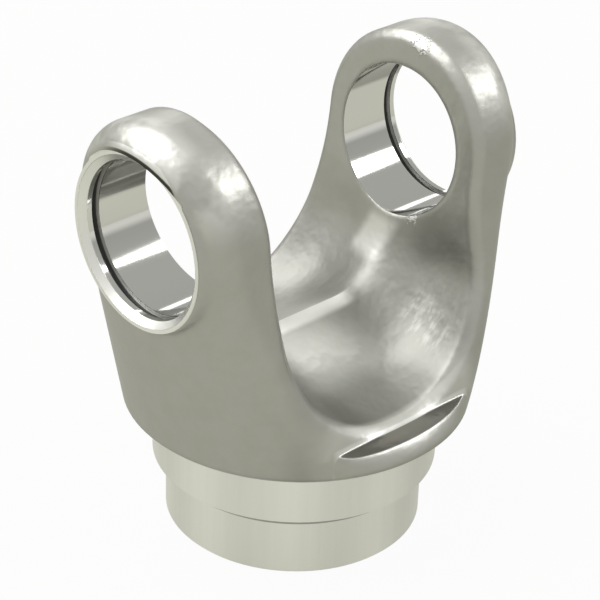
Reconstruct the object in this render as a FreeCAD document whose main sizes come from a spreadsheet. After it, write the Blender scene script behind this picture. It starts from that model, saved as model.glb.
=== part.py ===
import FreeCAD, Part
import math
import os

import Sketcher

# Driveshaft yoke with a pilot for a welded tube, forged in one piece and then machined.
# Lengths are in millimetres and angles in degrees. Z runs up along the shaft, X is the
# axis of the two cross bores, and the origin is the centre of the pilot's end face.

DRIVING_SIZES = [
    ("pilot_diameter", 46.0, "turned pilot that presses into the tube"),
    ("pilot_length", 10.4, "end face to the start of the weld bevel"),
    ("pilot_chamfer", 0.6, "lead-in chamfer at the end of the pilot"),
    ("shoulder_diameter", 50.8, "outside of the tube that is welded on"),
    ("bevel_rise", 2.1, "height of the weld bevel below the shoulder"),
    ("pocket_diameter", 27.0, "mouth of the forged pocket in the end face"),
    ("pocket_depth", 8.0, "depth of that pocket"),
    ("pocket_draft", 15.0, "draft of its wall"),
    ("pocket_chamfer", 2.0, "slope between its wall and its floor"),
    ("body_underside", 23.9, "height of the lower edge of the body"),
    ("body_diameter", 61.4, "body at that edge"),
    ("flare_top", 66.3, "height at which the leaning sides reach the outside of the ears"),
    ("flare_blend", 40.0, "radius where the lean turns upright beside the bores"),
    ("facing_allowance", 1.75, "forged skin that stands outside the plane of an ear face"),
    ("ledge_height", 28.2, "flat ledges in front of the fork and behind it"),
    ("fork_depth", 52.8, "front to rear across the fork at the ledges"),
    ("eye_radius", 18.7, "round top of an ear, seen along the bores"),
    ("eye_height", 66.1, "height of the centre of that round"),
    ("flank_blend", 60.0, "hollow radius between the flank of an ear and its round top"),
    ("bore_diameter", 27.0, "bores for the bearing cups"),
    ("bore_height", 65.4, "height of the bore axis"),
    ("face_span", 73.1, "across the two machined ear faces"),
    ("face_diameter", 30.6, "machined face of the pad round a bore"),
    ("pad_depth", 6.55, "bore pad from its machined face in to its base"),
    ("pad_draft", 21.0, "draft of the pad's side"),
    ("facing_diameter", 31.2, "sweep of the facing cut"),
    ("bore_chamfer", 1.1, "chamfer at the mouth of a bore"),
    ("ring_groove_inset", 2.1, "ear face to the snap-ring groove"),
    ("ring_groove_width", 1.5, "width of the snap-ring groove"),
    ("ring_groove_depth", 0.8, "depth of the snap-ring groove"),
    ("crest_height", 39.1, "saddle at the parting line, midway between front and rear"),
    ("crest_half_gap", 22.6, "half gap between the ears there, at bore height"),
    ("crest_lean", 5.5, "draft of the inner faces there"),
    ("crest_corner", 12.0, "corner radius of the saddle there"),
    ("lip_height", 29.4, "saddle at the front lip and the rear lip"),
    ("lip_half_gap", 23.2, "half gap between the ears there, at bore height"),
    ("lip_lean", 4.5, "draft of the inner faces there"),
    ("lip_corner", 21.5, "corner radius of the saddle there"),
    ("outer_rim_round", 6.0, "round of the outer rim of an ear"),
    ("inner_rim_chamfer", 1.4, "break of the inner rim of an ear"),
    ("body_edge_chamfer", 0.6, "chamfer of the body's lower edge"),
    ("chord_round", 1.6, "hollow round between a ledge and the fork"),
]

# Sizes that follow from the driving ones.
flare_width = "(forged_ear_span - body_diameter) / 2"
flare_rise = "(flare_top - body_underside - body_edge_chamfer)"
FOLLOWING_SIZES = [
    ("forged_ear_span", "face_span + 2 * facing_allowance", "outside of the ears as forged"),
    ("pad_base", "face_span / 2 - pad_depth", "base plane of a bore pad, from the shaft axis"),
    ("flare_angle", f"atan({flare_width} / {flare_rise}) / 1 deg", "lean of the sides"),
]

# Stations of the saddle's scoop, as shares of the way from the crest out to a lip.
SCOOP_STATIONS = (0.0, 0.22, 0.5, 1.0)
CLEARANCE = 1.0     # by which a cut passes the surface it opens through
MARGIN = 5.0        # by which the blank and the widest cuts pass the forged outline
NEAR = 0.05         # how close to the side outline a rim's sample points lie
LEAST_CUT = 1.0     # cubic millimetres that every cut takes away at least

doc = FreeCAD.newDocument("weld_yoke")
sheet = doc.addObject("Spreadsheet::Sheet", "sizes")
following = [(alias, "=" + rule, note) for alias, rule, note in FOLLOWING_SIZES]
for row, (alias, content, note) in enumerate(DRIVING_SIZES + following, start=1):
    sheet.set(f"A{row}", alias)
    sheet.set(f"B{row}", str(content))
    sheet.set(f"C{row}", note)
    sheet.setAlias(f"B{row}", alias)
doc.recompute()

yoke = doc.addObject("PartDesign::Body", "yoke")
yoke.Label = "yoke"
origin = {feature.Role: feature for feature in yoke.Origin.OriginFeatures}

TOP = f"(sizes.eye_height + sizes.eye_radius + {MARGIN})"


def size(expression):
    """The present number that an expression on the sheet gives."""
    result = yoke.evalExpression(str(expression))
    return float(getattr(result, "Value", result))


def new_sketch(name, plane, offset=None):
    """A sketch on one of the body's planes, moved along its normal by an expression."""
    sketch = yoke.newObject("Sketcher::SketchObject", name)
    sketch.AttachmentSupport = (origin[plane], [""])
    sketch.MapMode = "FlatFace"
    if offset:
        sketch.setExpression("AttachmentOffset.Base.z", offset)
    return sketch


def constrain(sketch, kind, *where, value=None):
    """Adds a constraint, and binds its number to an expression where it has one."""
    if value is None:
        return sketch.addConstraint(Sketcher.Constraint(kind, *where))
    number = size(value)
    if kind == "Angle":
        number = math.radians(number)
        value = f"({value}) * 1 deg"
    index = sketch.addConstraint(Sketcher.Constraint(kind, *where, number))
    sketch.setExpression(f"Constraints[{index}]", str(value))
    return index


def pin(sketch, geometry, end, across, up):
    """Fixes an end (1 or 2) or a centre (3) at a place given by two expressions."""
    for kind, value in (("DistanceX", across), ("DistanceY", up)):
        constrain(sketch, kind, -1, 1, geometry, end, value=value)


def place(across, up):
    return FreeCAD.Vector(size(across), size(up), 0)


def line(sketch, start, end):
    return sketch.addGeometry(Part.LineSegment(start, end), False)


def arc(sketch, centre, radius, start_angle, end_angle):
    """An arc that runs anticlockwise between two angles in degrees."""
    circle = Part.Circle(centre, FreeCAD.Vector(0, 0, 1), radius)
    ends = (math.radians(start_angle), math.radians(end_angle))
    return sketch.addGeometry(Part.ArcOfCircle(circle, *ends), False)


def polygon(sketch, corners):
    """Straight lines round a list of corners, each a pair of expressions."""
    places = [place(across, up) for across, up in corners]
    lines = [line(sketch, a, b) for a, b in zip(places, places[1:] + places[:1])]
    for this, following in zip(lines, lines[1:] + lines[:1]):
        constrain(sketch, "Coincident", this, 2, following, 1)
    for index, (across, up) in zip(lines, corners):
        pin(sketch, index, 1, across, up)


def edges_where(feature, rule):
    """Names of the edges of a feature whose sample points all meet a rule."""
    names = []
    for number, edge in enumerate(feature.Shape.Edges, start=1):
        first, last = edge.ParameterRange
        points = [edge.valueAt(first + (last - first) * share) for share in (0.1, 0.5, 0.9)]
        if all(rule(p) for p in points):
            names.append(f"Edge{number}")
    return names


def round_edges(name, base, names, radius):
    """A fillet of named edges of the feature before it."""
    fillet = yoke.newObject("PartDesign::Fillet", name)
    fillet.Base = (base, names)
    fillet.setExpression("Radius", radius)
    doc.recompute()
    return fillet


# Turned blank: pilot, weld bevel, shoulder, body, and the flare up to the ears.
blank_sketch = new_sketch("blank_profile", "XZ_Plane")
straight = [
    ("0", "0"),
    ("sizes.pilot_diameter / 2 - sizes.pilot_chamfer", "0"),
    ("sizes.pilot_diameter / 2", "sizes.pilot_chamfer"),
    ("sizes.pilot_diameter / 2", "sizes.pilot_length"),
    ("sizes.shoulder_diameter / 2", "sizes.pilot_length + sizes.bevel_rise"),
    ("sizes.shoulder_diameter / 2", "sizes.body_underside"),
    ("sizes.body_diameter / 2 - sizes.body_edge_chamfer", "sizes.body_underside"),
    ("sizes.body_diameter / 2", "sizes.body_underside + sizes.body_edge_chamfer"),
]
lean = size("sizes.flare_angle")
blend = size("sizes.flare_blend")
run = blend * math.tan(math.radians(lean / 2))
meeting = place("sizes.forged_ear_span / 2", "sizes.flare_top")
up_the_lean = FreeCAD.Vector(math.sin(math.radians(lean)), math.cos(math.radians(lean)), 0)
lean_end = meeting - up_the_lean * run
upright_start = meeting + FreeCAD.Vector(0, run, 0)
corners = [place(across, up) for across, up in straight]
lines = [line(blank_sketch, a, b) for a, b in zip(corners, corners[1:])]
flare = line(blank_sketch, corners[-1], lean_end)
bend = arc(blank_sketch, upright_start - FreeCAD.Vector(blend, 0, 0), blend, -lean, 0)
upright = line(blank_sketch, upright_start, place("sizes.forged_ear_span / 2", TOP))
lid = line(blank_sketch, place("sizes.forged_ear_span / 2", TOP), place("0", TOP))
axis_line = line(blank_sketch, place("0", TOP), place("0", "0"))
for this, following in zip(lines, lines[1:] + [flare]):
    constrain(blank_sketch, "Coincident", this, 2, following, 1)
for index, (across, up) in zip(lines + [flare], straight):
    pin(blank_sketch, index, 1, across, up)
constrain(blank_sketch, "Tangent", flare, 2, bend, 1)
constrain(blank_sketch, "Tangent", bend, 2, upright, 1)
constrain(blank_sketch, "Radius", bend, value="sizes.flare_blend")
constrain(blank_sketch, "Angle", flare, value="90 - sizes.flare_angle")
constrain(blank_sketch, "Vertical", upright)
pin(blank_sketch, upright, 2, "sizes.forged_ear_span / 2", TOP)
constrain(blank_sketch, "Coincident", upright, 2, lid, 1)
constrain(blank_sketch, "Coincident", lid, 2, axis_line, 1)
constrain(blank_sketch, "Coincident", axis_line, 2, lines[0], 1)
pin(blank_sketch, axis_line, 1, "0", TOP)

blank = yoke.newObject("PartDesign::Revolution", "blank")
blank.Profile = blank_sketch
blank.ReferenceAxis = (blank_sketch, ["V_Axis"])
blank.Angle = 360
doc.recompute()

# Sides of the ears: flanks that lean in from the ledges, hollow blends and a round top.
half_depth = "sizes.fork_depth / 2"
reach = f"(sizes.forged_ear_span / 2 + {MARGIN})"
sides_sketch = new_sketch("ear_sides_profile", "YZ_Plane")
radius = size("sizes.eye_radius")
hollow = size("sizes.flank_blend")
eye_centre = place("0", "sizes.eye_height")
foot = place(half_depth, "sizes.ledge_height")
hollow_centre = eye_centre + FreeCAD.Vector(radius + hollow, 0, 0)
to_centre = hollow_centre - foot
tangent_angle = math.degrees(math.atan2(to_centre.y, to_centre.x)
                             + math.asin(hollow / to_centre.Length))
flank_length = math.sqrt(to_centre.Length ** 2 - hollow ** 2)
turn = tangent_angle - 90


def mirrored(vector):
    return FreeCAD.Vector(-vector.x, vector.y, 0)


flank_end = foot + FreeCAD.Vector(math.cos(math.radians(tangent_angle)),
                                  math.sin(math.radians(tangent_angle)), 0) * flank_length
chord_round = size("sizes.chord_round")
lean_turn = math.radians(tangent_angle)
setback = chord_round * (1 + math.cos(lean_turn)) / math.sin(lean_turn)
flank_start = foot + FreeCAD.Vector(math.cos(lean_turn), math.sin(lean_turn), 0) * setback
ledge_end = foot + FreeCAD.Vector(setback, 0, 0)
chord_centre = ledge_end + FreeCAD.Vector(0, chord_round, 0)
right_flank = line(sides_sketch, flank_start, flank_end)
right_chord = arc(sides_sketch, chord_centre, chord_round, 90 + tangent_angle, 270)
left_chord = arc(sides_sketch, mirrored(chord_centre), chord_round, 270, 450 - tangent_angle)
right_hollow = arc(sides_sketch, hollow_centre, hollow, 180, 180 + turn)
eye = arc(sides_sketch, eye_centre, radius, 0, 180)
left_hollow = arc(sides_sketch, mirrored(hollow_centre), hollow, -turn, 0)
left_flank = line(sides_sketch, mirrored(flank_end), mirrored(flank_start))
for corner, flank_line in ((foot, right_flank), (mirrored(foot), left_flank)):
    mark = sides_sketch.addGeometry(Part.Point(corner), True)
    side = half_depth if corner is foot else "-" + half_depth
    pin(sides_sketch, mark, 1, side, "sizes.ledge_height")
    sides_sketch.addConstraint(Sketcher.Constraint("PointOnObject", mark, 1, flank_line))
constrain(sides_sketch, "Tangent", right_flank, 2, right_hollow, 2)
constrain(sides_sketch, "Tangent", right_hollow, 1, eye, 1)
constrain(sides_sketch, "Tangent", eye, 2, left_hollow, 2)
constrain(sides_sketch, "Tangent", left_hollow, 1, left_flank, 1)
constrain(sides_sketch, "Radius", eye, value="sizes.eye_radius")
constrain(sides_sketch, "Radius", right_hollow, value="sizes.flank_blend")
constrain(sides_sketch, "Equal", right_hollow, left_hollow)
pin(sides_sketch, eye, 3, "0", "sizes.eye_height")
constrain(sides_sketch, "DistanceY", -1, 1, right_hollow, 3, value="sizes.eye_height")
constrain(sides_sketch, "DistanceY", -1, 1, left_hollow, 3, value="sizes.eye_height")
outside = [
    ("-" + reach, "sizes.ledge_height"),
    ("-" + reach, TOP),
    (reach, TOP),
    (reach, "sizes.ledge_height"),
]
rim = [mirrored(ledge_end)] + [place(across, up) for across, up in outside] + [ledge_end]
rim_lines = [line(sides_sketch, a, b) for a, b in zip(rim, rim[1:])]
for this, following in zip(rim_lines, rim_lines[1:]):
    constrain(sides_sketch, "Coincident", this, 2, following, 1)
for index, (across, up) in zip(rim_lines[1:], outside):
    pin(sides_sketch, index, 1, across, up)
constrain(sides_sketch, "Tangent", left_flank, 2, left_chord, 2)
constrain(sides_sketch, "Tangent", left_chord, 1, rim_lines[0], 1)
constrain(sides_sketch, "Tangent", rim_lines[-1], 2, right_chord, 2)
constrain(sides_sketch, "Tangent", right_chord, 1, right_flank, 1)
constrain(sides_sketch, "Radius", right_chord, value="sizes.chord_round")
constrain(sides_sketch, "Equal", right_chord, left_chord)

ear_sides = yoke.newObject("PartDesign::Pocket", "ear_sides")
ear_sides.Profile = sides_sketch
ear_sides.SideType = "Symmetric"
ear_sides.Type = "Length"
ear_sides.setExpression("Length", "2 * " + reach)
doc.recompute()

outer_rims = edges_where(ear_sides, lambda p: (
    p.z > size("sizes.ledge_height + sizes.chord_round")
    and math.hypot(p.x, p.y) > size("sizes.body_diameter / 2")))
rim_round = round_edges("outer_rim_rounding", ear_sides, outer_rims, "sizes.outer_rim_round")

# Pads round the bores, with draft, that carry the machined faces.
pad_sketch = new_sketch("pad_profile", "XZ_Plane")
pad_height = "sizes.bore_height"
pad_rise = "(sizes.face_span / 2 - sizes.pad_base)"
grown = f"(sizes.face_diameter / 2 + {pad_rise} * tan(sizes.pad_draft))"
polygon(pad_sketch, [
    ("sizes.pad_base", pad_height),
    ("sizes.face_span / 2", pad_height),
    ("sizes.face_span / 2", f"{pad_height} + sizes.face_diameter / 2"),
    ("sizes.pad_base", f"{pad_height} + {grown}"),
])
pad = yoke.newObject("PartDesign::Revolution", "bore_pad")
pad.Profile = pad_sketch
pad.ReferenceAxis = (pad_sketch, ["Edge1"])
pad.Angle = 360
doc.recompute()
pads = yoke.newObject("PartDesign::Mirrored", "bore_pads")
pads.Originals = [pad]
pads.MirrorPlane = (origin["YZ_Plane"], [""])
yoke.Tip = pads
doc.recompute()


# Saddle: a scoop from the crest at the parting line down to the front lip, and its mirror.
def saddle_section(name, share):
    """The gap between the ears at one station, from the crest (0) to a lip (1)."""
    weight = (1 - share) ** 2

    def between(crest, lip):
        return f"(sizes.{lip} + (sizes.{crest} - sizes.{lip}) * {weight:.4f})"

    floor = between("crest_height", "lip_height")
    corner = between("crest_corner", "lip_corner")
    draft = between("crest_lean", "lip_lean")
    half_gap = between("crest_half_gap", "lip_half_gap")
    half_top = f"({half_gap} + ({TOP} - sizes.bore_height) * tan({draft}))"
    offset = f"(sizes.fork_depth / 2 + {CLEARANCE}) * {share}"
    sketch = new_sketch(name, "XZ_Plane", offset if share else None)
    r = size(corner)
    slope = math.radians(size(draft))
    wall_top = place(half_top, TOP)
    centre_z = size(floor) + r
    centre_x = (wall_top.x + (centre_z - wall_top.y) * math.tan(slope)) - r / math.cos(slope)
    centre = FreeCAD.Vector(centre_x, centre_z, 0)
    wall_foot = centre + FreeCAD.Vector(math.cos(slope), -math.sin(slope), 0) * r
    floor_end = centre - FreeCAD.Vector(0, r, 0)
    flat = line(sketch, mirrored(floor_end), floor_end)
    right_corner = arc(sketch, centre, r, -90, -math.degrees(slope))
    right_wall = line(sketch, wall_foot, wall_top)
    roof = line(sketch, wall_top, mirrored(wall_top))
    left_wall = line(sketch, mirrored(wall_top), mirrored(wall_foot))
    left_corner = arc(sketch, mirrored(centre), r, 180 + math.degrees(slope), 270)
    constrain(sketch, "Tangent", flat, 2, right_corner, 1)
    constrain(sketch, "Tangent", right_corner, 2, right_wall, 1)
    constrain(sketch, "Coincident", right_wall, 2, roof, 1)
    constrain(sketch, "Coincident", roof, 2, left_wall, 1)
    constrain(sketch, "Tangent", left_wall, 2, left_corner, 1)
    constrain(sketch, "Tangent", left_corner, 2, flat, 1)
    constrain(sketch, "Radius", right_corner, value=corner)
    constrain(sketch, "Equal", right_corner, left_corner)
    constrain(sketch, "Horizontal", flat)
    constrain(sketch, "DistanceY", -1, 1, flat, 1, value=floor)
    constrain(sketch, "Angle", right_wall, value=f"90 - {draft}")
    constrain(sketch, "Angle", left_wall, value=f"{draft} - 90")
    pin(sketch, right_wall, 2, half_top, TOP)
    pin(sketch, left_wall, 1, "-" + half_top, TOP)
    return sketch


sections = [saddle_section(f"saddle_section_{number}", share)
            for number, share in enumerate(SCOOP_STATIONS, start=1)]
doc.recompute()
front_scoop = yoke.newObject("PartDesign::SubtractiveLoft", "front_scoop")
front_scoop.Profile = sections[0]
front_scoop.Sections = sections[1:]
front_scoop.Ruled = False
doc.recompute()
scoop = yoke.newObject("PartDesign::Mirrored", "scoop_pair")
scoop.Originals = [front_scoop]
scoop.MirrorPlane = (origin["XZ_Plane"], [""])
yoke.Tip = scoop
doc.recompute()


def on_side_outline(p):
    """Whether a point lies on the flank or the round top of an ear."""
    above = max(0.0, p.z - size("sizes.eye_height"))
    return math.hypot(p.y, above) > size("sizes.eye_radius") - NEAR


def within_gap(p):
    """Whether a point lies no further out than the inner face of an ear."""
    rise = (p.z - size("sizes.bore_height")) * math.tan(math.radians(size("sizes.lip_lean")))
    return abs(p.x) < size("sizes.lip_half_gap") + CLEARANCE + rise


inner_rims = edges_where(scoop, lambda p: (
    on_side_outline(p) and within_gap(p) and p.z > size("sizes.ledge_height") + NEAR))
inner_break = yoke.newObject("PartDesign::Chamfer", "inner_rim_break")
inner_break.Base = (scoop, inner_rims)
inner_break.setExpression("Size", "sizes.inner_rim_chamfer")
doc.recompute()


def circle_sketch(name, diameter, height, offset):
    """A circle on a plane across the bore axis."""
    sketch = new_sketch(name, "YZ_Plane", offset)
    circle = Part.Circle(place("0", height), FreeCAD.Vector(0, 0, 1), size(diameter) / 2)
    index = sketch.addGeometry(circle, False)
    constrain(sketch, "Diameter", index, value=diameter)
    pin(sketch, index, 3, "0", height)
    return sketch


# Machining: bores through both ears, the flat faces round them and their mouth chamfers.
bore_sketch = circle_sketch("bore_circle", "sizes.bore_diameter", "sizes.bore_height", None)
bores = yoke.newObject("PartDesign::Pocket", "cup_bores")
bores.Profile = bore_sketch
bores.SideType = "Symmetric"
bores.Type = "Length"
bores.setExpression("Length", "2 * " + reach)

face_sketch = circle_sketch("facing_circle", "sizes.facing_diameter", "sizes.bore_height",
                            "sizes.face_span / 2")
facing = yoke.newObject("PartDesign::Pocket", "ear_facing")
facing.Profile = face_sketch
facing.Type = "Length"
facing.Reversed = True
facing.setExpression("Length", f"(sizes.forged_ear_span - sizes.face_span) / 2 + {MARGIN}")
doc.recompute()

# Chamfer at the mouth of a bore and the snap-ring groove behind it, as one turned outline.
groove_sketch = new_sketch("ring_groove_profile", "XZ_Plane")
wall = "sizes.bore_diameter / 2"
face = "sizes.face_span / 2"
bore_wall = f"sizes.bore_height + {wall}"
polygon(groove_sketch, [
    (f"{face} + {CLEARANCE}", f"{bore_wall} - {CLEARANCE}"),
    (f"{face} + {CLEARANCE}", f"{bore_wall} + sizes.bore_chamfer + {CLEARANCE}"),
    (f"{face} - sizes.bore_chamfer", bore_wall),
    (f"{face} - sizes.bore_chamfer", f"{bore_wall} - {CLEARANCE}"),
])
near_side = f"{face} - sizes.ring_groove_inset"
far_side = f"{near_side} - sizes.ring_groove_width"
polygon(groove_sketch, [
    (near_side, f"{bore_wall} - {CLEARANCE}"),
    (near_side, f"{bore_wall} + sizes.ring_groove_depth"),
    (far_side, f"{bore_wall} + sizes.ring_groove_depth"),
    (far_side, f"{bore_wall} - {CLEARANCE}"),
])
axis_index = line(groove_sketch, place("0", "sizes.bore_height"),
                  place("sizes.face_span / 2", "sizes.bore_height"))
groove_sketch.setConstruction(axis_index, True)
pin(groove_sketch, axis_index, 1, "0", "sizes.bore_height")
pin(groove_sketch, axis_index, 2, "sizes.face_span / 2", "sizes.bore_height")
mouths = yoke.newObject("PartDesign::Groove", "mouth_and_ring_groove")
mouths.Profile = groove_sketch
mouths.ReferenceAxis = (groove_sketch, ["Axis0"])
mouths.Angle = 360
doc.recompute()

other_ear = yoke.newObject("PartDesign::Mirrored", "other_ear")
other_ear.Originals = [facing, mouths]
other_ear.MirrorPlane = (origin["YZ_Plane"], [""])
yoke.Tip = other_ear
doc.recompute()

# Forged pocket in the end face: a wall with draft, a sloped corner and a flat floor.
pocket_sketch = new_sketch("end_pocket_profile", "XZ_Plane")
pocket_wall = "(sizes.pocket_depth - sizes.pocket_chamfer)"
pocket_foot = f"sizes.pocket_diameter / 2 - {pocket_wall} * tan(sizes.pocket_draft)"
polygon(pocket_sketch, [
    ("0", f"-{CLEARANCE}"),
    (f"sizes.pocket_diameter / 2 + {CLEARANCE} * tan(sizes.pocket_draft)", f"-{CLEARANCE}"),
    (pocket_foot, "sizes.pocket_depth - sizes.pocket_chamfer"),
    (f"{pocket_foot} - sizes.pocket_chamfer", "sizes.pocket_depth"),
    ("0", "sizes.pocket_depth"),
])
end_pocket = yoke.newObject("PartDesign::Groove", "end_pocket")
end_pocket.Profile = pocket_sketch
end_pocket.ReferenceAxis = (pocket_sketch, ["V_Axis"])
end_pocket.Angle = 360
doc.recompute()

# Every feature has to be sound, and every cut has to have taken something away.
for thing in doc.Objects:
    if {"Invalid", "Error"} & set(thing.State):
        raise RuntimeError(f"{thing.Name} did not build")
    if hasattr(thing, "Shape") and (thing.Shape.isNull() or not thing.Shape.isValid()):
        raise RuntimeError(f"{thing.Name} has no sound shape")
stages = [blank, ear_sides, rim_round]
later_stages = [pads, scoop, inner_break, bores, facing, mouths, other_ear, end_pocket]
for earlier, later in [*zip(stages, stages[1:]), *zip(later_stages, later_stages[1:])]:
    if later.Shape.Volume > earlier.Shape.Volume - LEAST_CUT:
        raise RuntimeError(f"{later.Name} took nothing away")
if len(yoke.Shape.Solids) != 1:
    raise RuntimeError("the yoke is not one solid")

os.makedirs("parts", exist_ok=True)
yoke.Shape.exportStep("parts/yoke.step")
print("volume", round(yoke.Shape.Volume), "mm3")
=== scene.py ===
# %% [markdown]
# # A forged driveshaft yoke
# Everything made below sits in that same frame, so no piece needs fitting. The first
# thing done is to load the bare CAD model and count its points and faces.

# %% Load the frame
import math

import bmesh
import bpy
from mathutils import Matrix, Vector

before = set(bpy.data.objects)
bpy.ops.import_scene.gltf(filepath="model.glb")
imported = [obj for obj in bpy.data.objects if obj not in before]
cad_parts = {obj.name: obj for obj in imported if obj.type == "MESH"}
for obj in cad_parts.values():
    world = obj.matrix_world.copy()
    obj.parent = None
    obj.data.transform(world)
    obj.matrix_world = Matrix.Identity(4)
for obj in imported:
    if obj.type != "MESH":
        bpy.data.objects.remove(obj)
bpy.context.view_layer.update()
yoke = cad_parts["yoke"]
MM = 0.001
print("yoke", len(yoke.data.vertices), "points,", len(yoke.data.polygons), "faces")

# %% [markdown]
# Shader maths reads best as plain expressions. This small class wraps a node's output,
# and each operator adds the Math node that it stands for. The function add_node makes any
# other node: first the type, then the settings, then the values or links of its sockets.


# %% Shader expressions
class Value:
    """A socket of a material that can be added, multiplied and compared like a number."""

    def __init__(self, tree, socket):
        self.tree = tree
        self.socket = socket

    def math(self, operation, *inputs):
        node = self.tree.nodes.new("ShaderNodeMath")
        node.operation = operation
        for place, item in zip(node.inputs, inputs):
            plug(self.tree, item, place)
        return Value(self.tree, node.outputs[0])

    def __add__(self, other):
        return self.math("ADD", self, other)

    def __radd__(self, other):
        return self.math("ADD", other, self)

    def __sub__(self, other):
        return self.math("SUBTRACT", self, other)

    def __rsub__(self, other):
        return self.math("SUBTRACT", other, self)

    def __mul__(self, other):
        return self.math("MULTIPLY", self, other)

    def __rmul__(self, other):
        return self.math("MULTIPLY", other, self)

    def __truediv__(self, other):
        return self.math("DIVIDE", self, other)

    def root(self):
        return self.math("SQRT", self)

    def size(self):
        return self.math("ABSOLUTE", self)

    def cosine(self):
        return self.math("COSINE", self)

    def most(self, other):
        return self.math("MAXIMUM", self, other)

    def rise(self, none, full):
        """0 at the first bound, 1 at the second and a smooth step between them."""
        flipped = full < none
        return add_node(self.tree, "ShaderNodeMapRange", {"interpolation_type": "SMOOTHSTEP"},
                        Value=self, From_Min=min(none, full), From_Max=max(none, full),
                        To_Min=1.0 if flipped else 0.0, To_Max=0.0 if flipped else 1.0)


def plug(tree, item, place):
    """Links a socket to an input, or sets the input to a plain number or tuple."""
    if isinstance(item, Value):
        tree.links.new(item.socket, place)
    else:
        place.default_value = item


def add_node(tree, kind, settings=None, output=0, **inputs):
    """Any node of a material: its settings first, then its inputs by name, or i and number."""
    node = tree.nodes.new(kind)
    for name, setting in (settings or {}).items():
        setattr(node, name, setting)
    for name, item in inputs.items():
        numbered = name[0] == "i" and name[1:].isdigit()
        key = int(name[1:]) if numbered else name.replace("_", " ")
        plug(tree, item, node.inputs[key])
    return Value(tree, node.outputs[output])


def blend(tree, share, first, second):
    """A colour between two others."""
    return add_node(tree, "ShaderNodeMix", {"data_type": "RGBA"}, 2,
                    i0=share, i6=first, i7=second)


def noise(tree, place, scale, detail, rough):
    """A cloudy pattern between 0 and 1."""
    return add_node(tree, "ShaderNodeTexNoise", {"noise_dimensions": "3D"},
                    Vector=place, Scale=scale, Detail=detail, Roughness=rough)


def coordinates(tree, place):
    """The three parts of a vector, each as a value."""
    return [add_node(tree, "ShaderNodeSeparateXYZ", output=axis, Vector=place)
            for axis in range(3)]


def empty_material(name):
    material = bpy.data.materials.new(name)
    material.use_nodes = True
    material.node_tree.nodes.clear()
    return material


def show(tree, shader, kind="ShaderNodeOutputMaterial"):
    """Gives a shader to the output node of its material or world."""
    plug(tree, shader, tree.nodes.new(kind).inputs["Surface"])


# %% [markdown]
# The skin is as forged, but the bores, the ear faces and the pilot were turned or bored
# bright. These few real sizes, in millimetres, say where each finish starts and where
# shade and highlight are painted, so the material can find its own borders on Object
# coordinates.

# %% Sizes that part one finish from another
BORE_HEIGHT = 65.4
BORE_RADIUS = 13.5
MOUTH_RADIUS = 14.6
MOUTH_START = 35.4
FACE_RADIUS = 15.65
EAR_FACE = 36.55
GROOVE_START = 32.95
GROOVE_END = 34.45
BODY_UNDERSIDE = 23.9
LEDGE_REACH = 28.9
LEDGE_BOW = 0.0065
RIM_ABOVE_FACE = (EAR_FACE + 0.15, EAR_FACE + 0.3)
RIDGE_MIDDLE = -0.8
WEDGE_MIDDLE = 2.5
WEDGE_HEIGHT = 46.0
WEDGE_SLANT = 0.4
# The slope of the border of the painted shade low in the scoop.
LOWER_SHADE_SLANT = 0.55
LAMP_UP = 0.75
LAMP_FORWARD = 0.66
LAMP_SIDE_OF_RIM = (0.35, 0.75)
NEAR_EAR_SHADE = 0.3
NICK = (24.8, -2.4, 83.6)
BURR = (21.7, -5.4, 52.7)
print("turned steel reaches", BODY_UNDERSIDE, "mm up")

# %% [markdown]
# Masks between 0 and 1 say where each finish and each mark lies, and where shade and
# highlight are painted. A mask is a list of fades, each with what is measured, where the
# mark is gone and where it is full. A mask is full only where all its fades are. The lathe
# and the boring bar met the forging along the shaft and the bore, so height and distance to
# the bore axis are measured most.


# %% Where each finish lies
def band(measure, low, high, edge=0.05):
    """Two fades that leave 1 between low and high, and 0 outside them."""
    return [(measure, low - edge, low + edge), (measure, high + edge, high - edge)]


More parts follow.
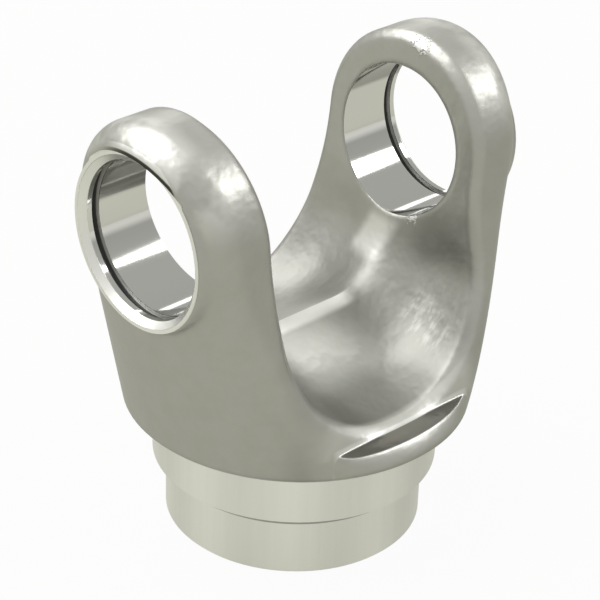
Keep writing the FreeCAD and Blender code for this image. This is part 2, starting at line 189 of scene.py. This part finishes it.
ABOVE_UNDERSIDE = ("height", 24, 25)
UP_TO_CREST = ("height", 50, 46)
MASKS = {
    "bored": [("from_bore", BORE_RADIUS + 0.15, BORE_RADIUS + 0.05), ("out", 17, 18)],
    "mouth": [*band("from_bore", BORE_RADIUS, MOUTH_RADIUS + 0.02),
              ("out", MOUTH_START - 0.1, MOUTH_START)],
    "face": [*band("from_bore", MOUTH_RADIUS, FACE_RADIUS),
             *band("out", EAR_FACE - 0.1, EAR_FACE + 0.1)],
    # Painted shadow in the snap ring groove.
    "groove": [("from_bore", BORE_RADIUS + 0.1, BORE_RADIUS + 0.3),
               ("from_bore", MOUTH_RADIUS, MOUTH_RADIUS - 0.1),
               *band("out", GROOVE_START, GROOVE_END)],
    "turned": [("height", BODY_UNDERSIDE - 0.02, BODY_UNDERSIDE - 0.1)],
    # Painted shade on the downward bevel above the pilot.
    "step": band("height", 10.5, 12.45),
    # Painted highlight on the rear wall of the bores.
    "rear_wall": [("rearward", 0.91, 0.95), ("overhead", 0.45, 0.35)],
    # Painted shade under the roof of the near bore.
    "roof": [("upward", 0.1, 0.35), ("along_bore", 1, -1)],
    # Painted shadow: a thin dark line below the dome's edge, on the side toward the lamp.
    "rim_line": [*band("from_bore", 15.4, 16.05), ("toward_lamp", *LAMP_SIDE_OF_RIM),
                 ("out", *RIM_ABOVE_FACE)],
    # Painted highlight on the dome's edge, on the side toward the lamp.
    "rim_highlight": [*band("from_bore", 16.15, 16.9), ("toward_lamp", *LAMP_SIDE_OF_RIM),
                 ("out", *RIM_ABOVE_FACE)],
    # Painted highlight on the upper ear domes.
    "dome": [*band("from_bore", 16.2, 20, 0.8), ("out", 29, 33), ("upward", 0.2, 0.6)],
    "crest": [("across", 7, 4), ("out", 26, 22), UP_TO_CREST],
    # Painted highlight along the crest of the scoop.
    "ridge": [("from_ridge", 1.7, 0.6), ("out", 13, 9), UP_TO_CREST],
    # Painted highlight where the crest widens up the ear wall under the bore.
    "wedge": [("from_wedge", 4.6, 2.2), *band("out", 16.5, 23, 1),
              *band("height", 43, 50.5, 1.5)],
    # Painted shade on the front of the ears' inner walls, for the dark reflection of the
    # facing ear.
    "far_wall_shade": [("out", 18, 21), ("out", 24, 23), *band("along", -19, -7, 3),
              *band("height", 46, 57, 3)],
    "cup": [("out", 26, 20), ("height", 50, 44), ("across", 26, 24)],
    "hollow": [("out", 25, 21), ("height", 58, 46), ("across", 26, 25)],
    # Painted shade over the scoop's bowl.
    "bowl": [("out", 24, 17), ("out", 5, 13), ("height", 48, 38), ("across", 25, 22)],
    # Tool scars in the bump, and painted highlight in pale streaks over the bowl's painted
    # shade.
    "scars_and_highlight": [*band("out", 14, 22, 1.5), *band("along", -21, -10, 2),
              *band("height", 34, 44, 1.5)],
    # The scale mask is painted shade: the low front and rear of the scoop darkened.
    "scale": [("slanted", 41, 37), ("across", 11, 17), ("out", 20, 12), ("across", 24.5, 23)],
    # Painted highlight along the lip of the scoop.
    "lip": [*band("across", 24.4, 26.1, 0.3), ("height", 36, 32), ("height", 28, 29),
            ("out", 20, 15)],
    # Painted shade on the flat ledge.
    "ledge": [("past_ledge", 0.1, -0.2), ("across", 26.2, 26.5), ABOVE_UNDERSIDE,
              ("height", 29.2, 28.9)],
    # Painted highlight along the outer edge of the ledge.
    "ledge_edge": [*band("past_ledge", -0.1, 0.2), ("out", 14, 7), ("across", 26.0, 26.4),
                   ABOVE_UNDERSIDE, ("height", 29.2, 28.8)],
    # Painted highlight along the chord's rounded corner.
    "chord": [*band("across", 25.7, 26.4), ABOVE_UNDERSIDE, ("height", 30, 29.4),
              ("out", 16.5, 15)],
}


def measures(tree, place):
    """What the masks measure at a place: lengths in millimetres, and slopes from -1 to 1."""
    point = add_node(tree, "ShaderNodeVectorMath", {"operation": "SCALE"},
                     Vector=place, Scale=1 / MM)
    x, y, z = coordinates(tree, point)
    above = z - BORE_HEIGHT
    from_bore = (y * y + above * above).root()
    from_axis = (x * x + y * y).root()
    upward = above / from_bore
    near_ear = x.rise(1, -1)

    def distance(spot):
        return add_node(tree, "ShaderNodeVectorMath", {"operation": "DISTANCE"}, 1,
                        i0=point, i1=spot)

    return {
        "along_bore": x,
        "along": y,
        "height": z,
        "out": x.size(),
        "across": y.size(),
        "from_bore": from_bore,
        "upward": upward,
        "rearward": y / from_bore,
        "overhead": upward + near_ear * NEAR_EAR_SHADE,
        "toward_lamp": (above * LAMP_UP - y * LAMP_FORWARD) / from_bore,
        "from_ridge": (y - RIDGE_MIDDLE).size(),
        "from_wedge": (y + (z - WEDGE_HEIGHT) * WEDGE_SLANT - WEDGE_MIDDLE).size(),
        "slanted": z + x.size() * LOWER_SHADE_SLANT,
        "past_ledge": from_axis - x * x * LEDGE_BOW - LEDGE_REACH,
        "from_nick": distance(NICK),
        "from_burr": distance(BURR),
        "around": y.math("ARCTAN2", y, x),
    }


def product(measured, fades):
    """One mask: all its fades multiplied."""
    share, *others = [measured[name].rise(none, full) for name, none, full in fades]
    for other in others:
        share = share * other
    return share


# %% [markdown]
# Forged skin is shot-blasted and slightly rolled over, so it is satin with a faint
# mottle. A Bevel node rounds its edges in the shading, as the forging dies left them,
# and leaves the machined edges crisp. Turned steel is paler, with a painted sheen of
# lighter and darker bands around the axis. The bored walls are the smoothest, so they
# carry clear bands of reflected light, with a painted highlight on their rear side and
# painted shade under the near bore's roof.
# Colour goes on in layers, and a layer is a mask, how strongly it covers, and a colour.
# Many layers are painted light: painted shade in the scoop, on the ears' inner walls, on
# the ledge, in the groove and on the pilot's bevel, and painted highlights on the domes,
# the crest, the lip and the edges.


# %% Steel
FORGED = (0.51, 0.51, 0.48, 1)
FORGED_DARK = (0.49, 0.49, 0.455, 1)
# Painted shade: the dark colour of the bowl, the low scoop, the ears' inner walls, the ledge
# and the near bore's roof.
PAINTED_SHADE = (0.26, 0.26, 0.24, 1)
# Painted shade: the dark colour of the flat ledge.
LEDGE = (0.27, 0.262, 0.235, 1)
# Painted highlight on most marks; on the flash nick and burr it is rubbed bright metal.
RUBBED_AND_HIGHLIGHT = (0.88, 0.88, 0.85, 1)
TURNED = (1.0, 1.0, 0.97, 1)
# The shaded copy of turned steel, for its painted sheen.
TURNED_IN_SHADE = (0.84, 0.84, 0.81, 1)
BORED = (0.46, 0.46, 0.44, 1)
# Painted shadow in the snap ring groove.
GROOVE = (0.06, 0.06, 0.06, 1)
# Painted shade on the downward bevel above the pilot.
STEP_SHADE = (0.35, 0.35, 0.33, 1)
# Painted shadow below the dome's edge round the ear face.
RIM_SHADOW = (0.08, 0.08, 0.07, 1)

FORGED_ROUGHNESS = 0.38
MOTTLED_ROUGHNESS = 0.08
CUP_ROUGHNESS = 0.1
TURNED_ROUGHNESS = 0.36
BORED_ROUGHNESS = 0.09
EDGE_ROUND = 1.8 * MM
CREST_ROUND = 3.2 * MM
SCAR_TURN = (0.6, 0.0, 0.4)
SCAR_STRETCH = (220.0, 900.0, 280.0)
# The streaks and the sheen are painted reflection on the turned steel: bands round the axis.
STREAKS_ROUND = 14.0
STREAKS_UP = 0.02
STREAK_SHARE = 0.3
SHEEN_SHARE = 0.3
TURNED_SHARE = 0.4
SHEEN_TURNS = 9.0
SHEEN_START = math.radians(134)
# How strongly painted shade darkens the near bore's roof.
ROOF_SHADE = 0.6
# How much mottled painted shade darkens the ledge further.
LEDGE_SHADE_MOTTLE = 0.6
# In millimetres: how ragged the flash is, where its marks end, and how wide the hollow is.
RAGGED = 4.5
NICK_FADE = (1.7, 1.2)
BURR_FADE = (1.0, 0.6)
HOLLOW_WIDTH = 26.0
RELIEF_UNIT = 0.1 * MM
# How high each relief stands, in units of a tenth of a millimetre.
WAVE_RELIEF = 4.0
MOTTLE_RELIEF = 0.3
GRAIN_RELIEF = 0.06
FLASH_RELIEF = 2.0
SCAR_RELIEF = 0.5
HOLLOW_RELIEF = 9.0


def steel():
    material = empty_material("forged_steel")
    tree = material.node_tree
    place = add_node(tree, "ShaderNodeTexCoord", output=3)
    measured = measures(tree, place)
    mask = {name: product(measured, fades) for name, fades in MASKS.items()}
    bright = mask["turned"].most(mask["mouth"].most(mask["face"]))
    machined = bright.most(mask["bored"])

    mottle = noise(tree, place, scale=260, detail=4, rough=0.6)
    grain = noise(tree, place, scale=1800, detail=2, rough=0.5)
    waves = noise(tree, place, scale=120, detail=3, rough=0.6)
    streak_place = add_node(tree, "ShaderNodeCombineXYZ", X=measured["around"] * STREAKS_ROUND,
                            Y=measured["height"] * STREAKS_UP)
    streaks = noise(tree, streak_place, scale=1, detail=6, rough=0.7)
    # Streaky noise for the scars' relief and their painted highlight.
    scar_place = add_node(tree, "ShaderNodeMapping", {"vector_type": "POINT"}, Vector=place,
                          Rotation=SCAR_TURN, Scale=SCAR_STRETCH)
    scars_and_highlight = noise(tree, scar_place, scale=1, detail=4, rough=0.6)

    ragged = (grain - 0.5) * RAGGED
    nick = (measured["from_nick"] + ragged).rise(*NICK_FADE)
    burr = (measured["from_burr"] + ragged).rise(*BURR_FADE)
    flash = nick.most(burr)
    # Painted highlight on the ledge's edge and the chord's corner.
    edge_highlight = mask["ledge_edge"].most(mask["chord"])
    # The ledge's painted shade, mottled darker in patches.
    shaded_ledge = blend(tree, mottle.rise(0.3, 0.7) * LEDGE_SHADE_MOTTLE, LEDGE, PAINTED_SHADE)
    # The bored wall: painted shade under the near bore's roof, painted highlight on the rear
    # wall.
    bore_wall = blend(tree, mask["roof"] * ROOF_SHADE, BORED, PAINTED_SHADE)
    bore_wall = blend(tree, mask["rear_wall"], bore_wall, RUBBED_AND_HIGHLIGHT)
    # Painted sheen and painted reflection streaks: lighter and darker bands round the axis.
    sheen = (measured["around"] * SHEEN_TURNS + SHEEN_START * SHEEN_TURNS).cosine()
    pale_share = streaks.rise(0.2, 0.8) * STREAK_SHARE + sheen * SHEEN_SHARE + TURNED_SHARE
    turned = blend(tree, pale_share, TURNED_IN_SHADE, TURNED)

    colour = blend(tree, mottle.rise(0.35, 0.65), FORGED_DARK, FORGED)
    layers = [
        # Painted shade in the scoop's bowl.
        (mask["bowl"], 0.75, PAINTED_SHADE),
        # Painted highlight in pale streaks along the scars.
        (mask["scars_and_highlight"] * scars_and_highlight.rise(0.45, 0.62), 0.5, FORGED),
        # Painted shade low in the scoop, front and rear.
        (mask["scale"], 0.9, PAINTED_SHADE),
        # Painted highlight on the ear domes, broken up by the waves.
        (mask["dome"] * waves.rise(0.35, 0.55), 0.5, RUBBED_AND_HIGHLIGHT),
        # Painted highlight along the crest.
        (mask["ridge"], 1.0, RUBBED_AND_HIGHLIGHT),
        # Painted highlight up the ear wall under the bore.
        (mask["wedge"], 0.9, RUBBED_AND_HIGHLIGHT),
        # Painted shade on the ears' inner walls.
        (mask["far_wall_shade"], 0.45, PAINTED_SHADE),
        # Painted highlight along the lip.
        (mask["lip"], 0.35, RUBBED_AND_HIGHLIGHT),
        # Painted shade on the ledge.
        (mask["ledge"], 1.0, shaded_ledge),
        # Painted highlight on the edges of the ledge.
        (edge_highlight, 0.6, RUBBED_AND_HIGHLIGHT),
        (flash, 1.0, RUBBED_AND_HIGHLIGHT),
        # Bored walls, with their painted shade and painted highlight.
        (mask["bored"], 1.0, bore_wall),
        # Turned steel, with its painted sheen.
        (bright, 1.0, turned),
        # Painted shadow in the groove.
        (mask["groove"], 1.0, GROOVE),
        # Painted shade on the bevel.
        (mask["step"], 1.0, STEP_SHADE),
        # Painted shadow below the dome's edge.
        (mask["rim_line"], 1.0, RIM_SHADOW),
        # Painted highlight on the dome's edge.
        (mask["rim_highlight"], 1.0, RUBBED_AND_HIGHLIGHT),
    ]
    for share, strength, paint in layers:
        colour = blend(tree, share * strength, colour, paint)

    forged_roughness = (FORGED_ROUGHNESS + (mottle - 0.5) * MOTTLED_ROUGHNESS
                        + mask["cup"] * CUP_ROUGHNESS)
    roughness = (forged_roughness * (1 - machined) + TURNED_ROUGHNESS * bright
                 + BORED_ROUGHNESS * mask["bored"] * (1 - bright))

    soft = add_node(tree, "ShaderNodeBevel", {"samples": 8},
                    Radius=EDGE_ROUND + CREST_ROUND * mask["crest"])
    straight_up = add_node(tree, "ShaderNodeCombineXYZ", Z=1.0)
    soft = add_node(tree, "ShaderNodeMix", {"data_type": "VECTOR"}, 1,
                    i0=mask["ledge"], i4=soft, i5=straight_up)
    crisp = add_node(tree, "ShaderNodeNewGeometry", output=1)
    normal = add_node(tree, "ShaderNodeMix", {"data_type": "VECTOR"}, 1,
                      i0=machined, i4=soft, i5=crisp)
    turn = measured["across"] * (2 * math.pi / HOLLOW_WIDTH)
    height = (waves * WAVE_RELIEF + mottle * MOTTLE_RELIEF + grain * GRAIN_RELIEF
              + (turn.cosine() - 1) * mask["hollow"] * HOLLOW_RELIEF
              + flash * FLASH_RELIEF + mask["scars_and_highlight"] * scars_and_highlight * SCAR_RELIEF)
    relief = add_node(tree, "ShaderNodeBump", Height=height * (1 - machined), Normal=normal,
                      Strength=1.0, Distance=RELIEF_UNIT)
    show(tree, add_node(tree, "ShaderNodeBsdfPrincipled", Base_Color=colour,
                        Roughness=roughness, Metallic=1.0, Normal=relief))
    return material


steel_finish = steel()
yoke.data.materials.clear()
yoke.data.materials.append(steel_finish)
print("steel", len(steel_finish.node_tree.nodes), "nodes")

# %% [markdown]
# The floor is a wide pale sheet. To the camera it is almost plain white, in reflections
# it is greyer and lighter toward the window, and it still takes a faint shadow, as the
# photograph's white table does.


# %% Floor
FLOOR_REACH = 2.0
PAPER = (0.5, 0.5, 0.46, 1)
TABLE_FAR = (0.5332, 0.5332, 0.4687, 1)
TABLE_NEAR_WINDOW = (0.6882, 0.6882, 0.60495, 1)
WHITE = (1, 1, 1, 1)
TO_WINDOW = (-0.97, -0.26, 0)
WINDOW_FADE = (-0.06, 0.09)
SEEN_IN_STEEL = 0.8
SEEN_BY_CAMERA = 0.95


def floor_sheet():
    sheet = bmesh.new()
    bmesh.ops.create_grid(sheet, x_segments=1, y_segments=1, size=FLOOR_REACH)
    mesh = bpy.data.meshes.new("floor")
    sheet.to_mesh(mesh)
    sheet.free()
    floor = bpy.data.objects.new("floor", mesh)
    bpy.context.collection.objects.link(floor)
    material = empty_material("white_table")
    tree = material.node_tree
    to_camera = add_node(tree, "ShaderNodeLightPath", output="Is Camera Ray")
    to_steel = add_node(tree, "ShaderNodeLightPath", output="Is Glossy Ray")
    place = add_node(tree, "ShaderNodeTexCoord", output=3)
    toward_window = add_node(tree, "ShaderNodeVectorMath", {"operation": "DOT_PRODUCT"}, 1,
                             i0=place, i1=TO_WINDOW).rise(*WINDOW_FADE)
    paper = add_node(tree, "ShaderNodeBsdfDiffuse", Color=PAPER)
    pale = add_node(tree, "ShaderNodeEmission", Strength=1.0,
                    Color=blend(tree, toward_window, TABLE_FAR, TABLE_NEAR_WINDOW))
    white = add_node(tree, "ShaderNodeEmission", Color=WHITE, Strength=1.0)
    below = add_node(tree, "ShaderNodeMixShader", i0=to_steel * SEEN_IN_STEEL,
                     i1=paper, i2=pale)
    show(tree, add_node(tree, "ShaderNodeMixShader", i0=to_camera * SEEN_BY_CAMERA,
                        i1=below, i2=white))
    mesh.materials.append(material)
    return floor


floor = floor_sheet()
print("floor", [round(side, 2) for side in floor.dimensions])

# %% [markdown]
# Polished metal shows what is around it, so the light is laid out like a product
# photographer's: a large soft box up on the left and a little behind, a small bright one
# on the right, and a low strip behind. Energy grows with a lamp's area, so that its
# brightness stays the same when its size is changed.

# %% Light
LAMP_DISTANCE = 1.0
LAMPS_TURN_ROUND = Vector((0, 0, 50 * MM))
LAMPS = [
    # name, azimuth and elevation of the lamp, width, height, brightness
    ("rear_box", 122, 55, 0.95, 0.95, 2.8),
    ("right_box", -36, 38, 0.29, 0.28, 6.2),
    ("low_strip", 50, 21, 0.24, 0.13, 2.2),
]
for name, azimuth, elevation, width, height, brightness in LAMPS:
    data = bpy.data.lights.new(name, "AREA")
    data.shape = "RECTANGLE"
    data.size = width
    data.size_y = height
    data.energy = brightness * math.pi * width * height
    level = math.cos(math.radians(elevation))
    toward = Vector((level * math.cos(math.radians(azimuth)),
                     level * math.sin(math.radians(azimuth)),
                     math.sin(math.radians(elevation))))
    lamp = bpy.data.objects.new(name, data)
    lamp.location = toward * LAMP_DISTANCE + LAMPS_TURN_ROUND
    lamp.rotation_euler = (-toward).to_track_quat("-Z", "Y").to_euler()
    bpy.context.collection.objects.link(lamp)
print("lamps", len(LAMPS))

# %% [markdown]
# The room is lighter towards the ceiling. The Generated output of Texture Coordinate is
# the direction of a ray in a world, so its height makes that slope with a few Math nodes.
# To the camera the room is plain white.

# %% Room
ROOM = (1.0, 1.0, 0.96, 1)
ROOM_LIGHT = 0.65
CEILING_LIGHT = 0.15

world = bpy.data.worlds.new("room")
bpy.context.scene.world = world
world.use_nodes = True
tree = world.node_tree
tree.nodes.clear()
to_camera = add_node(tree, "ShaderNodeLightPath", output="Is Camera Ray")
ray_height = coordinates(tree, add_node(tree, "ShaderNodeTexCoord"))[2]
room = add_node(tree, "ShaderNodeBackground", Color=ROOM,
                Strength=ROOM_LIGHT + CEILING_LIGHT * ray_height.most(0.0))
backdrop = add_node(tree, "ShaderNodeBackground", Color=WHITE, Strength=1.0)
show(tree, add_node(tree, "ShaderNodeMixShader", i0=to_camera, i1=room, i2=backdrop),
     "ShaderNodeOutputWorld")
bpy.context.scene.view_settings.view_transform = "Standard"
print("room", len(tree.nodes), "nodes")

# %% [markdown]
# The camera stands where the photographer's did. It turns round a point inside the yoke
# by an azimuth and an elevation, then tilts a little about its own line of sight.

# %% Camera
AZIMUTH = math.radians(-44.178)
ELEVATION = math.radians(29.513)
ROLL = math.radians(1.942)
DISTANCE = 386.4 * MM
ASIDE = 0.266 * MM
LOOK_HEIGHT = 41.622 * MM
LENS = 133.54
SENSOR_WIDTH = 36.0
NEAREST_SEEN = 10 * MM

back = Vector((math.sin(AZIMUTH) * math.cos(ELEVATION),
               -math.cos(AZIMUTH) * math.cos(ELEVATION), math.sin(ELEVATION)))
right = Vector((math.cos(AZIMUTH), math.sin(AZIMUTH), 0))
up = back.cross(right)
tilted_right = right * math.cos(ROLL) + up * math.sin(ROLL)
tilted_up = back.cross(tilted_right)
target = right * ASIDE + Vector((0, 0, LOOK_HEIGHT))
camera_data = bpy.data.cameras.new("camera")
camera_data.lens = LENS
camera_data.sensor_width = SENSOR_WIDTH
camera_data.clip_start = NEAREST_SEEN
camera = bpy.data.objects.new("camera", camera_data)
bpy.context.collection.objects.link(camera)
spot = target + back * DISTANCE
rows = zip(tilted_right, tilted_up, back, spot)
camera.matrix_world = Matrix([*rows, (0, 0, 0, 1)])
bpy.context.scene.camera = camera
print("camera", [round(value, 3) for value in spot])
